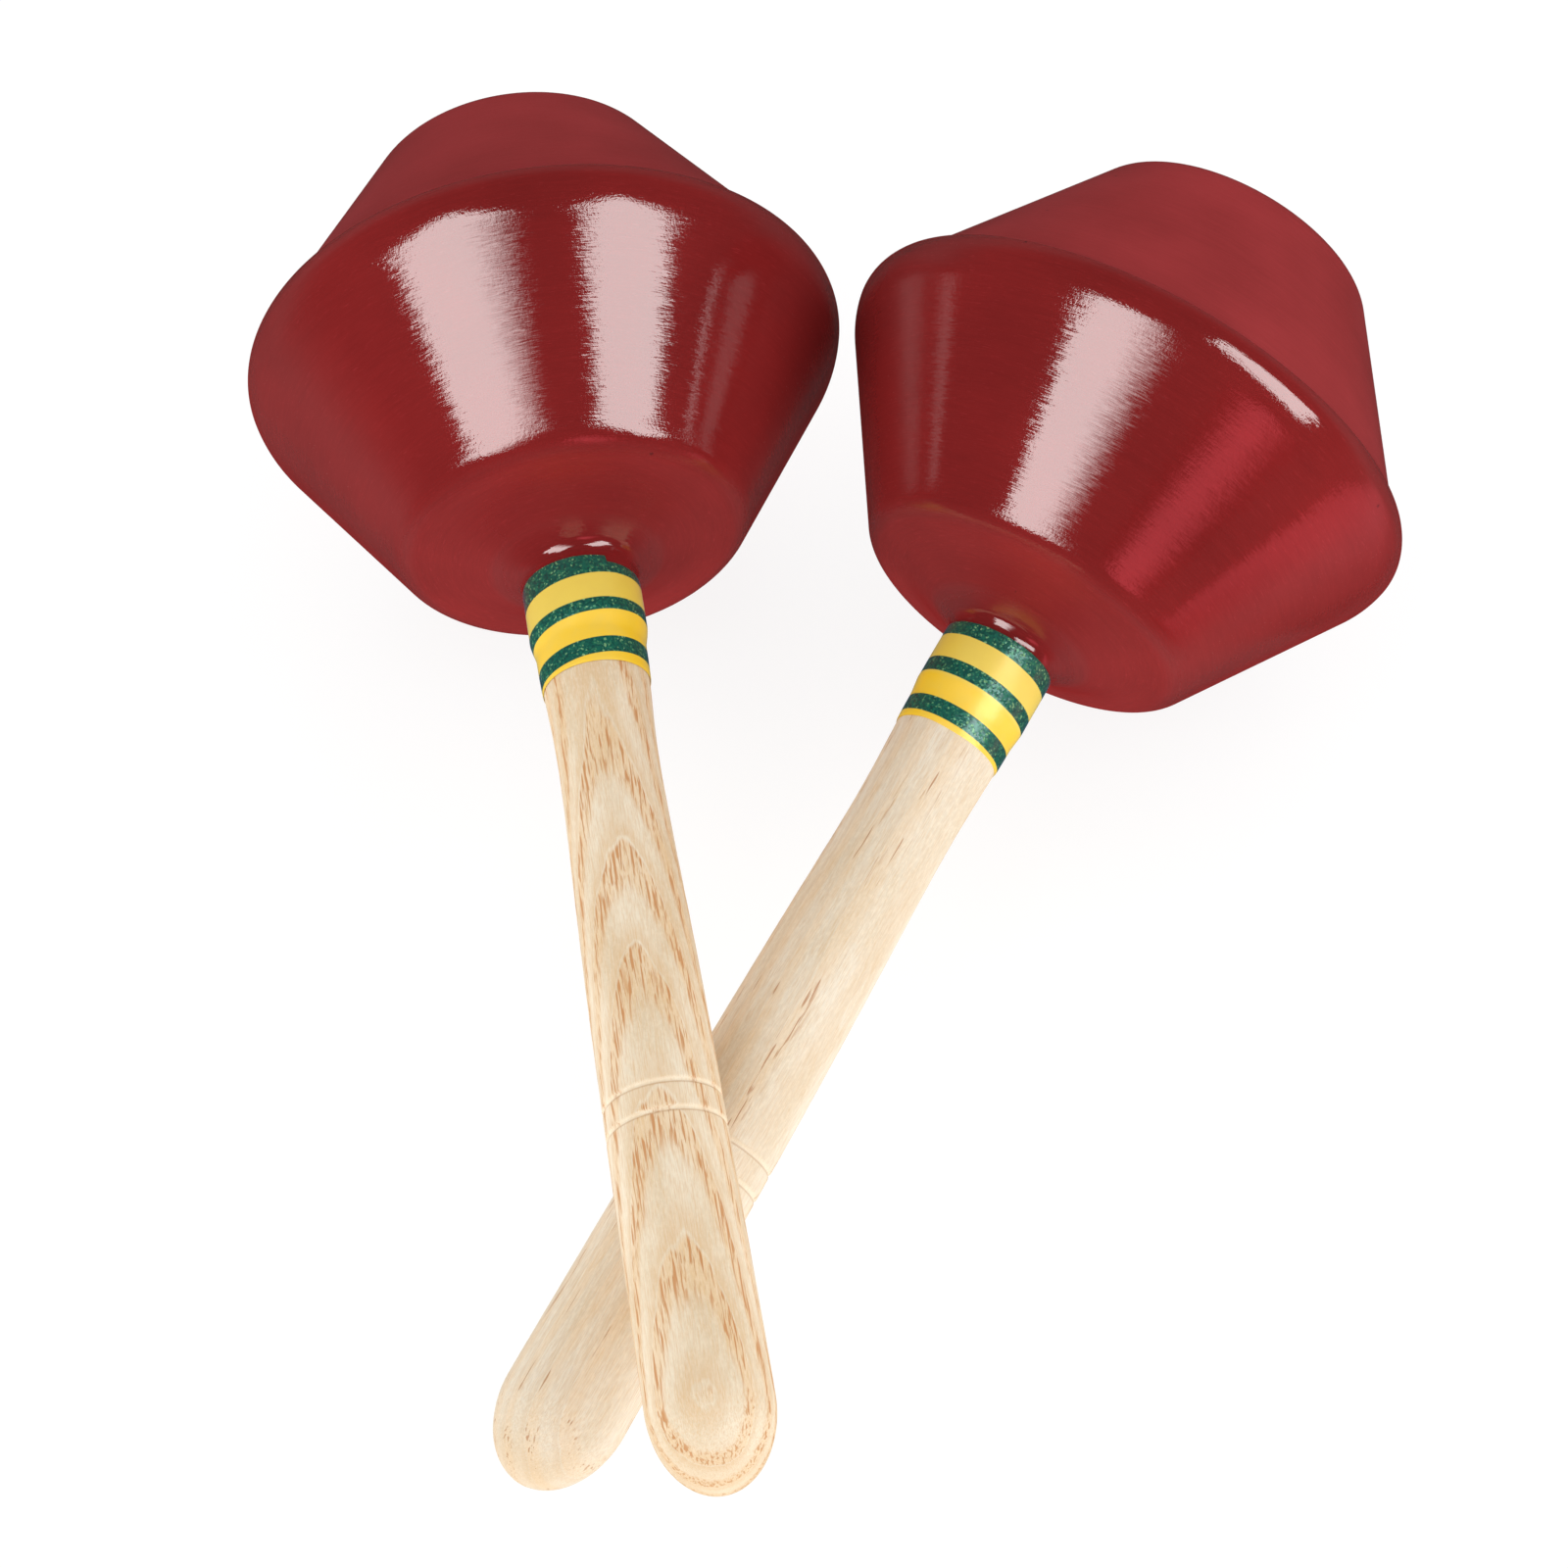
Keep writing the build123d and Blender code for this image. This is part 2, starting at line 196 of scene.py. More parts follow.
def fillet(points, radii, step_deg=3.0, step_mm=1.0):
    """Dense points along a polyline with rounded corners."""
    out = [points[0]]

    def line_to(end):
        start = out[-1]
        count = max(1, int(math.ceil(distance(start, end) / step_mm)))
        for k in range(1, count + 1):
            out.append((start[0] + (end[0] - start[0]) * k / count,
                        start[1] + (end[1] - start[1]) * k / count))

    for before, corner, after, radius in zip(points, points[1:], points[2:], radii[1:]):
        if radius <= 0:
            line_to(corner)
            continue
        back, ahead = heading(corner, before), heading(corner, after)
        dot = max(-1.0, min(1.0, back[0] * ahead[0] + back[1] * ahead[1]))
        half = math.acos(dot) / 2
        cut = radius / math.tan(half)
        first, last = slide(corner, back, cut), slide(corner, ahead, cut)
        bisector = unit(back[0] + ahead[0], back[1] + ahead[1])
        centre = slide(corner, bisector, radius / math.sin(half))
        line_to(first)
        angle0 = math.atan2(first[1] - centre[1], first[0] - centre[0])
        angle1 = math.atan2(last[1] - centre[1], last[0] - centre[0])
        turn = (angle1 - angle0 + math.pi) % (2 * math.pi) - math.pi
        count = max(2, int(math.ceil(abs(math.degrees(turn)) / step_deg)))
        for k in range(1, count + 1):
            angle = angle0 + turn * k / count
            out.append((centre[0] + radius * math.cos(angle),
                        centre[1] + radius * math.sin(angle)))
    line_to(points[-1])
    return out


def offset(points, gap):
    """The polyline moved sideways by gap, to the left of its direction."""
    lines = []
    for start, end in zip(points[:-1], points[1:]):
        along = heading(start, end)
        lines.append((slide(start, (-along[1], along[0]), gap), along))
    out = [lines[0][0]]
    for (p, u), (q, v) in zip(lines[:-1], lines[1:]):
        cross = u[0] * v[1] - u[1] * v[0]
        reach = ((q[0] - p[0]) * v[1] - (q[1] - p[1]) * v[0]) / cross
        out.append(slide(p, u, reach))
    along = lines[-1][1]
    out.append(slide(points[-1], (-along[1], along[0]), gap))
    return out


def sheet_faces(profile):
    """Outer and inner face of a sheet cup, from its table."""
    points = [row[:2] for row in profile]
    outer = fillet(points, [row[2] for row in profile])
    inner = fillet(offset(points, SHEET), [row[3] for row in profile], step_deg=6.0,
                   step_mm=2.0)
    return outer, inner


def spline(stations):
    """Natural cubic spline r(s) through the handle's stations."""
    s = np.array([p[1] for p in stations][::-1])
    r = np.array([p[0] for p in stations][::-1])
    n = len(s)
    h = np.diff(s)
    system = np.zeros((n, n))
    rhs = np.zeros(n)
    system[0, 0] = system[-1, -1] = 1
    for i in range(1, n - 1):
        system[i, i - 1], system[i, i], system[i, i + 1] = h[i - 1], 2 * (h[i - 1] + h[i]), h[i]
        rhs[i] = 6 * ((r[i + 1] - r[i]) / h[i] - (r[i] - r[i - 1]) / h[i - 1])
    m = np.linalg.solve(system, rhs)

    def radius(x):
        i = np.clip(np.searchsorted(s, x) - 1, 0, n - 2)
        t = x - s[i]
        slope = (r[i + 1] - r[i]) / h[i] - h[i] * (2 * m[i] + m[i + 1]) / 6
        return float(r[i] + t * slope + t * t * m[i] / 2
                     + t ** 3 * (m[i + 1] - m[i]) / (6 * h[i]))
    return radius


# ------------------------------------------------------------------ meshes
def turned_point(r, angle, s):
    return r * math.cos(angle) * MM, r * math.sin(angle) * MM, s * MM


def outward(verts, faces):
    """The same faces, all turned to look out of the closed shells."""
    v = np.array(verts, float)
    tri = np.array([(f[0], f[k], f[k + 1]) for f in faces for k in range(1, len(f) - 1)])
    volume = np.einsum("ij,ij->", v[tri[:, 0]], np.cross(v[tri[:, 1]], v[tri[:, 2]]))
    return faces if volume > 0 else [tuple(reversed(f)) for f in faces]


def add_piece(name, verts, faces, arcs, side, sharp=32.0):
    """A piece with its arc length ("arc") and its place in the shaker's frame, mm ("mc")."""
    mesh = bpy.data.meshes.new(name)
    mesh.from_pydata(verts, [], outward(verts, faces))
    mesh.validate()
    mesh.update()
    arc = mesh.attributes.new("arc", "FLOAT", "POINT")
    arc.data.foreach_set("value", np.asarray(arcs, np.float32))
    local = mesh.attributes.new("mc", "FLOAT_VECTOR", "POINT")
    local.data.foreach_set("vector", (np.array(verts, np.float32) * 1000.0).ravel())
    mesh.transform(maraca_frame(side))
    mesh.shade_smooth()
    mesh.set_sharp_from_angle(angle=math.radians(sharp))
    obj = bpy.data.objects.new(name, mesh)
    scene.collection.objects.link(obj)
    return obj


def revolve(points, segments, closed=False, wobble=None):
    """Vertices, faces and arc lengths of a turned shell. Points with r = 0 become poles;
    closed joins the last point to the first."""
    profile = [points[0]]
    for point in points[1:]:
        if distance(profile[-1], point) > 1e-5:
            profile.append(point)
    verts, faces, arcs, rows = [], [], [], []
    length = 0.0
    for i, (r, s) in enumerate(profile):
        if i:
            length += distance(profile[i - 1], (r, s))
        first = len(verts)
        if r < 1e-6:
            verts.append((0, 0, s * MM))
        else:
            for k in range(segments):
                angle = 2 * math.pi * k / segments
                uneven = wobble(angle, r, s) if wobble else 0.0
                verts.append(turned_point(r + uneven, angle, s))
        rows.append(range(first, len(verts)))
        arcs += [length] * (len(verts) - first)
    pairs = list(zip(rows[:-1], rows[1:])) + ([(rows[-1], rows[0])] if closed else [])
    for a, b in pairs:
        for k in range(segments):
            j = (k + 1) % segments
            if len(a) == 1:
                faces.append((a[0], b[j], b[k]))
            elif len(b) == 1:
                faces.append((a[k], a[j], b[0]))
            else:
                faces.append((a[k], a[j], b[j], b[k]))
    return verts, faces, arcs


def base_cup(side):
    """Base cup with a rolled lip: the sheet turns back on itself in a half round."""
    outer, inner = sheet_faces(BASE_PROFILE)
    rim = BASE_PROFILE[-1][:2]
    along = heading(LIP_AIM, rim)
    across = (-along[1], along[0])
    start = slide(rim, along, -SHEET)

    def kept(points, limit_point, margin):
        """Points that stop short of limit_point by the margin, measured along the lip."""
        return [p for p in points if p[1] < LIP_KEEP_BELOW
                or (p[0] - limit_point[0]) * along[0]
                + (p[1] - limit_point[1]) * along[1] < -margin]

    profile = kept(outer, start, 1e-3)
    centre = slide(start, across, SHEET)
    for k in range(LIP_STEPS + 1):
        angle = math.pi * k / LIP_STEPS
        profile.append(slide(slide(centre, across, -SHEET * math.cos(angle)),
                             along, SHEET * math.sin(angle)))
    back = slide(slide(start, across, 2 * SHEET), along, -LIP_RETURN)
    profile.append(back)
    profile.append(slide(slide(back, across, -SHEET), along, -0.05))
    profile += kept(reversed(inner), back, 0.1)
    return add_piece(side + "_base_cup_shell", *revolve(profile, CUP_SEGMENTS, closed=True),
                     side)


def crown_cup(side):
    """Crown cup: from the pole down to the flange, then back up inside."""
    outer, inner = sheet_faces(CROWN_PROFILE)
    return add_piece(side + "_crown_cup_shell", *revolve(outer[::-1] + inner, CUP_SEGMENTS),
                     side)


def handle(side):
    """Turned handle: tenon inside the collar, grooved grip and rounded butt."""
    spec = SIDES[side]
    radius = spline(spec["handle"])
    end_radius, end = spec["handle"][-1]
    profile = [
        (0.0, TENON_TOP),
        (TENON_RADIUS - 0.8, TENON_TOP),
        (TENON_RADIUS - 0.25, TENON_TOP - 0.25),
        (TENON_RADIUS, TENON_TOP - 0.8),
        (TENON_RADIUS, -8.0),
        (TENON_RADIUS, WOOD_TOP),
    ]

    grooves = [groove + spec["shift"] for groove in GROOVES]
    count = math.ceil((FIRST_STATION - end) / STATION_STEP)
    stations = [round(FIRST_STATION - k * STATION_STEP, 3) for k in range(count)]
    grip = [(radius(s), s) for s in stations
            if all(abs(s - groove) > GROOVE_CLEAR for groove in grooves)]
    for groove in grooves:
        for away, change in GROOVE_SECTION:
            r = radius(groove) + change
            grip += [(r, groove + away), (r, groove - away)]
    profile += sorted(grip, key=lambda point: -point[1])

    profile.append((end_radius, end))
    for k in range(1, BUTT_STEPS + 1):
        angle = math.radians(90 * k / BUTT_STEPS)
        r = end_radius * math.cos(angle)
        if r < BUTT_MIN_RADIUS:
            break
        profile.append((r, end - BUTT_LENGTH * math.sin(angle)))
    profile += [(r, end - BUTT_LENGTH + lift) for r, lift in BUTT_TIP]

    def ripple(angle, r, s):
        if s > RIPPLE_TOP or r < RIPPLE_MIN_RADIUS:
            return 0.0
        fade = (min(1.0, (RIPPLE_TOP - s) / RIPPLE_FADE)
                * min(1.0, (r - RIPPLE_MIN_RADIUS) / RIPPLE_RADIUS_FADE))
        waves = sum(height * math.sin(lobes * angle + s * phase + spec["seed"])
                    for height, lobes, phase in RIPPLES)
        return fade * (waves - RIPPLE_INSET)

    return add_piece(side + "_handle_turned", *revolve(profile, HANDLE_SEGMENTS, wobble=ripple),
                     side, sharp=40)


def tape(side):
    """Two turns of thin tape, each a closed band that steps down from the collar
    onto the wood."""
    spec = SIDES[side]
    wood_radius = spline(spec["handle"])
    top, end = spec["stripes"][0], spec["stripes"][-1]
    verts, faces, arcs = [], [], []

    def ground(s):
        """Radius the tape follows."""
        wood = wood_radius(min(s, FIRST_STATION)) + TAPE_ON_WOOD
        return wood + (TAPE_ON_COLLAR - wood) * smoothstep(s, *TAPE_SPAN)

    def wrinkle(angle, s):
        """Small lift of the film over the collar's end, and faint waves."""
        lift = (0.035 * math.exp(-((s + 17.9) / 0.45) ** 2)
                * (0.6 + 0.4 * math.sin(3 * angle + spec["seed"])))
        return lift + 0.006 * (1 + math.sin(5 * angle + s * 0.7 + spec["seed"]))

    def add_turn(stand_off, top_of, end_of):
        start = len(verts)
        for k in range(TAPE_SEGMENTS):
            angle = 2 * math.pi * k / TAPE_SEGMENTS
            s0, s1 = top_of(math.degrees(angle)), end_of(math.degrees(angle))
            heights = [s0 + (s1 - s0) * j / TAPE_STEPS for j in range(TAPE_STEPS + 1)]
            # down the outside, then up the inside
            loop = [(s, TAPE_THICK * TAPE_EDGE[min(j, TAPE_STEPS - j, 2)])
                    for j, s in enumerate(heights)]
            loop += [(s, 0.0) for s in reversed(heights)]
            for s, film in loop:
                r = ground(s) + stand_off + film + wrinkle(angle, s)
                verts.append(turned_point(r, angle, s))
                arcs.append(s)
        n = 2 * (TAPE_STEPS + 1)
        for k in range(TAPE_SEGMENTS):
            here, there = start + k * n, start + (k + 1) % TAPE_SEGMENTS * n
            for i in range(n):
                j = (i + 1) % n
                faces.append((here + i, there + i, there + j, here + j))

    def wave(degrees, height, phase):
        return height * math.sin(math.radians(degrees + phase))

    def left_top(degrees):
        low, high, depth = LEFT_TAPE_NOTCH
        return top - depth if low <= degrees < high else top

    def left_end(degrees):
        return end + wave(degrees, height=0.12, phase=40)

    def left_inner_end(degrees):
        return left_end(degrees) + 0.25

    def right_top(degrees):
        return top - 0.05 + 0.05 * math.cos(math.radians(degrees - 300))

    def right_end(degrees):
        return end + wave(degrees, height=0.10, phase=10)

    def right_inner_end(degrees):
        """The inner turn shows below the outer one on one side."""
        toward = math.cos(math.radians(degrees - 75))
        return right_end(degrees) - 0.42 * smoothstep(toward, -0.2, 0.6)

    if side == "left":
        top_of, end_of, inner_end_of = left_top, left_end, left_inner_end
    else:
        top_of, end_of, inner_end_of = right_top, right_end, right_inner_end
    add_turn(0.0, lambda degrees: top_of(degrees) - TAPE_TUCK, inner_end_of)
    add_turn(TAPE_OUTER_TURN, top_of, end_of)
    return add_piece(side + "_stripe_tape_wrap", verts, faces, arcs, side, sharp=50)


# ------------------------------------------------------------------ shader helpers
class Value:
    """A number inside a shader tree; arithmetic on it adds maths nodes."""

    def __init__(self, tree, socket):
        self.tree, self.socket = tree, socket

    def __add__(self, other):
        return self.tree.math("ADD", self, other)

    def __sub__(self, other):
        return self.tree.math("SUBTRACT", self, other)

    def __rsub__(self, other):
        return self.tree.math("SUBTRACT", other, self)

    def __mul__(self, other):
        return self.tree.math("MULTIPLY", self, other)

    def __truediv__(self, other):
        return self.tree.math("DIVIDE", self, other)

    def __abs__(self):
        return self.tree.math("ABSOLUTE", self)

    def affine(self, gain, base):
        return self.tree.math("MULTIPLY_ADD", self, gain, base)

    def rise(self, lo, hi, start=0.0, end=1.0):
        """Smooth step from start to end as the value goes from lo to hi."""
        node = self.tree.node("ShaderNodeMapRange", {0: self, 1: lo, 2: hi, 3: start, 4: end},
                              interpolation_type="SMOOTHSTEP")
        return Value(self.tree, node.outputs[0])

    def fall(self, lo, hi):
        return 1.0 - self.rise(lo, hi)


class ShaderTree:
    """Short ways to build the nodes of a material or a world."""

    def __init__(self, owner, output_kind="ShaderNodeOutputMaterial"):
        self.owner = owner
        owner.use_nodes = True
        self.tree = owner.node_tree
        self.tree.nodes.clear()
        self.output = self.node(output_kind)

    def put(self, socket, value):
        if isinstance(value, Value):
            value = value.socket
        if isinstance(value, bpy.types.NodeSocket):
            self.tree.links.new(value, socket)
        elif isinstance(value, tuple) and len(value) == 3 and len(socket.default_value) == 4:
            socket.default_value = (*value, 1.0)
        else:
            socket.default_value = value

    def node(self, kind, inputs=None, **settings):
        node = self.tree.nodes.new(kind)
        for key, value in settings.items():
            setattr(node, key, value)
        for key, value in (inputs or {}).items():
            self.put(node.inputs[key], value)
        return node

    def math(self, operation, *operands, clamp=False):
        node = self.node("ShaderNodeMath", dict(enumerate(operands)), operation=operation,
                         use_clamp=clamp)
        return Value(self, node.outputs[0])

    def vector(self, operation, *operands, scale=None):
        inputs = dict(enumerate(operands))
        if scale is not None:
            inputs["Scale"] = scale
        return self.node("ShaderNodeVectorMath", inputs, operation=operation).outputs[0]

    def xyz(self, vector):
        outputs = self.node("ShaderNodeSeparateXYZ", {0: vector}).outputs
        return [Value(self, outputs[i]) for i in range(3)]

    def own_place(self):
        """Place in the shaker's own frame, mm: the vector, then x, y and z."""
        place = self.node("ShaderNodeAttribute", attribute_name="mc").outputs["Vector"]
        return place, *self.xyz(place)

    def object_place(self):
        return self.node("ShaderNodeTexCoord").outputs["Object"]

    def facing(self):
        """0 where the surface looks at the viewer, 1 at its outline."""
        return Value(self, self.node("ShaderNodeLayerWeight", {0: 0.5}).outputs["Facing"])

    def noise(self, place, scale, detail, rough, warp=0.0):
        inputs = {"Vector": place, "Scale": scale, "Detail": detail, "Roughness": rough,
                  "Distortion": warp}
        return Value(self, self.node("ShaderNodeTexNoise", inputs).outputs[0])

    def streaks(self, place, across, along, shift, detail, rough, warp=0.0):
        """Noise at different scales across (x, y) and along (the third coordinate)."""
        x, y, z = place
        stretched = self.node("ShaderNodeCombineXYZ", {
            0: x.affine(across, shift),
            1: y.affine(across, shift * 0.7),
            2: z.affine(along, shift * 1.3)}).outputs[0]
        return self.noise(stretched, 1.0, detail, rough, warp)

    def cells(self, place, scale):
        return self.node("ShaderNodeTexVoronoi",
                         {"Vector": place, "Scale": scale, "Randomness": 1.0}).outputs

    def first_channel(self, color):
        return self.node("ShaderNodeSeparateColor", {0: color}).outputs[0]

    def mix(self, share, first, second):
        return self.node("ShaderNodeMix", {0: share, 6: first, 7: second},
                         data_type="RGBA").outputs[2]

    def tint(self, base, color, mask, strength):
        return self.mix(mask * strength, base, color)

    def ramp(self, position, stops):
        node = self.node("ShaderNodeValToRGB")
        elements = node.color_ramp.elements
        while len(elements) < len(stops):
            elements.new(1.0)
        for element, (at, color) in zip(elements, stops):
            element.position = at
            element.color = (*color, 1.0)
        self.put(node.inputs[0], position)
        return node.outputs[0]

    def bump(self, height_mm):
        return self.node("ShaderNodeBump", {"Height": height_mm * MM, "Distance": 1.0,
                                            "Strength": 1.0}).outputs[0]

    def emission(self, color, strength):
        return self.node("ShaderNodeEmission",
                         {"Color": color, "Strength": strength}).outputs[0]

    def surface(self, shader):
        self.tree.links.new(shader, self.output.inputs["Surface"])
        return self.owner

    def principled(self, inputs):
        return self.surface(self.node("ShaderNodeBsdfPrincipled", inputs).outputs[0])


def new_material(name):
    return ShaderTree(bpy.data.materials.new(name))


def srgb(*channels):
    """Linear colour from 8-bit sRGB channels."""
    return tuple(((c / 255 + 0.055) / 1.055) ** 2.4 if c > 10 else c / 255 / 12.92
                 for c in channels)


# ------------------------------------------------------------------ red lacquer
# pebble: relief of the coat, mm; lines: relief of coarse, middle and fine turned lines, mm;
# lean: sideways lean of the normal; patch_*: scale and threshold of pebbled patches
LACQUER = {
    "gloss": dict(pebble=0.0115, lines=(0.0056, 0.0030, 0.0012), lean=0.15, roughness=0.30,
                  patch_scale=0.08, patch_edge=(0.36, 0.62),
                  deep=srgb(105, 24, 24), bright=srgb(118, 28, 28)),
    "satin": dict(pebble=0.0070, lines=(0.0060, 0.0045, 0.0020), lean=0.06, roughness=0.36,
                  patch_scale=0.06, patch_edge=(0.38, 0.66),
                  deep=srgb(119, 33, 34), bright=srgb(134, 40, 42)),
}
# painted sheen: brightness over slant, halved, painted into the red: fuller at a slant, darker
# at the very edge, in place of light from the sides and the table
SLANT_PAINTED_SHEEN = (
    (0.0, (0.5, 0.5, 0.5)), (0.20, (0.545, 0.545, 0.545)), (0.36, (0.61, 0.61, 0.61)),
    (0.50, (0.63, 0.63, 0.63)), (0.66, (0.59, 0.59, 0.59)), (0.82, (0.54, 0.55, 0.55)),
    (1.0, (0.50, 0.52, 0.52)),
)


def red_lacquer(side, finish, seed):
    """Red coat over turned metal: "gloss" on the base cup, "satin" on the crown cup."""
    look = LACQUER[finish]
    gloss = finish == "gloss"
    mat = new_material(side + "_red_" + finish)
    place, x, y, z = mat.own_place()
    arc = Value(mat, mat.node("ShaderNodeAttribute", attribute_name="arc").outputs["Fac"])
    place = mat.vector("ADD", place, (seed, seed * 0.3, -seed))

    def lines(around, along, shift, detail=1.0, rough=0.5):
        return mat.streaks((x, y, arc), around, along, shift + seed, detail, rough)

    pebble = mat.noise(place, scale=1.9, detail=2.0, rough=0.55)
    fine = mat.noise(place, scale=4.5, detail=1.0, rough=0.5)
    slow = mat.noise(place, scale=0.045, detail=2.0, rough=0.5)
    coarse_lines = lines(around=0.05, along=1.4, shift=3.0, detail=3.0, rough=0.65)
    middle_lines = lines(around=0.16, along=4.5, shift=11.0, detail=2.0, rough=0.6)
    fine_lines = lines(around=0.45, along=7.5, shift=23.0)
    patch = mat.noise(place, scale=look["patch_scale"], detail=1.0, rough=0.5)
    patch = patch.rise(*look["patch_edge"])

    # pebbled bands: round the crown's top, or where the base turns into the cone
    # with a softer one towards the rim
    if gloss:
        cone_start = abs(z - 1.2).fall(lo=0.6, hi=4.2)
        near_rim = z.rise(lo=28.0, hi=31.5) * z.fall(lo=33.0, hi=36.0)
        band = mat.math("MAXIMUM", cone_start, near_rim * 0.6)
    else:
        band = z.rise(lo=66.0, hi=72.0)
    pebbles = ((band + patch * 0.30).affine(gain=look["pebble"] * 2.2,
                                            base=look["pebble"] * 0.50)
               * (pebble + fine * 0.3))
    coarse, middle, thin = look["lines"]
    turning = coarse_lines * coarse + middle_lines * middle + fine_lines * thin
    if gloss:   # the shoulder was finished with a coarser tool
        turning = turning * z.rise(lo=34.0, hi=36.5).affine(gain=2.6, base=1.0)
    relief = mat.bump(pebbles + turning)

    # the turned lines also lean the surface sideways, which frays the reflections
    own = maraca_frame(side)
    around = mat.vector("NORMALIZE", mat.vector(
        "ADD",
        mat.vector("SCALE", tuple(own.col[0][:3]), scale=y * -1.0),
        mat.vector("SCALE", tuple(own.col[1][:3]), scale=x)))
    sideways = mat.node("ShaderNodeVectorTransform", {0: around}, vector_type="VECTOR",
                        convert_from="OBJECT", convert_to="WORLD").outputs[0]
    lean = ((lines(around=0.16, along=2.4, shift=41.0) - 0.5) * (look["lean"] * 0.16)
            + (lines(around=0.5, along=8.0, shift=57.0) - 0.5) * look["lean"])
    normal = mat.vector("NORMALIZE", mat.vector(
        "ADD", relief, mat.vector("SCALE", sideways, scale=lean)))

    # a deep red with slow changes, brushed lines under the coat and a few specks
    tone = slow * 0.55 + middle_lines * 0.30 + coarse_lines * 0.15
    color = mat.ramp(tone, [(0.36, look["deep"]), (0.64, look["bright"])])
    strokes = lines(around=0.5, along=9.0, shift=77.0).rise(lo=0.66, hi=0.74)
    color = mat.tint(color, srgb(190, 62, 68), mask=strokes, strength=0.13)
    # painted sheen: the red is made brighter at a slant and darker at the very outline
    facing = mat.facing()
    depth = mat.ramp(facing, SLANT_PAINTED_SHEEN)
    color = mat.vector("MULTIPLY", color, mat.vector("SCALE", depth, scale=2.0))
    speck_distance = Value(mat, mat.cells(place, scale=0.085)["Distance"])
    specks = (speck_distance + (fine - 0.5) * 0.05).fall(lo=0.020, hi=0.034)
    color = mat.tint(color, srgb(70, 18, 20), mask=specks, strength=0.75)

    if gloss:
        # the coat turns satin on the foot of the cone and weakens towards the outline
        satin = z.rise(lo=-5.2, hi=-3.6) * z.fall(lo=-0.3, hi=1.2)
        coat_roughness = facing.rise(lo=0.22, hi=0.46).affine(
            gain=0.20, base=fine.affine(gain=0.05, base=0.035))
        coat = {
            "Coat Roughness": satin.affine(gain=0.20, base=coat_roughness),
            "Coat IOR": 1.60,
            "Coat Weight": (satin.affine(gain=-0.82, base=1.0)
                            * facing.rise(lo=0.68, hi=0.95, start=1.0, end=0.12)),
        }
    else:
        coat = {
            "Coat Weight": 0.45,
            "Coat Roughness": pebble.affine(gain=0.08, base=0.28),
            "Coat IOR": 1.45,
        }
    return mat.principled({
        "Base Color": color,
        "Metallic": 0.03,
        "Roughness": coarse_lines.affine(gain=0.14, base=look["roughness"]),
        "Anisotropic": 0.75,
        "Anisotropic Rotation": 0.25,
        "Specular IOR Level": 0.0,
        "Tangent": sideways,
        "Normal": normal,
        "Coat Normal": normal,
        **coat,
    })


# ------------------------------------------------------------------ wood
# face: where the flat-sawn face looks, degrees from x towards y; slope, wander, pitch: tilt,
# waviness (mm) and spacing (mm) of the growth layers; late, early, pores: strength of each
WOOD = {
    "left": dict(face=-8, slope=-0.125, wander=3.2, pitch=3.1,
                 late=0.34, early=0.30, pores=0.88,
                 pale=srgb(224, 211, 188), warm=srgb(209, 190, 160),
                 dark=srgb(206, 166, 114), brown=srgb(186, 120, 56)),
    "right": dict(face=62, slope=0.012, wander=6.0, pitch=3.8,
                  late=0.24, early=0.18, pores=0.80,
                  pale=srgb(218, 207, 189), warm=srgb(208, 193, 169),
                  dark=srgb(200, 166, 122), brown=srgb(164, 104, 54)),
}
LAYER_ORIGIN = 60.0     # keeps the layer count positive


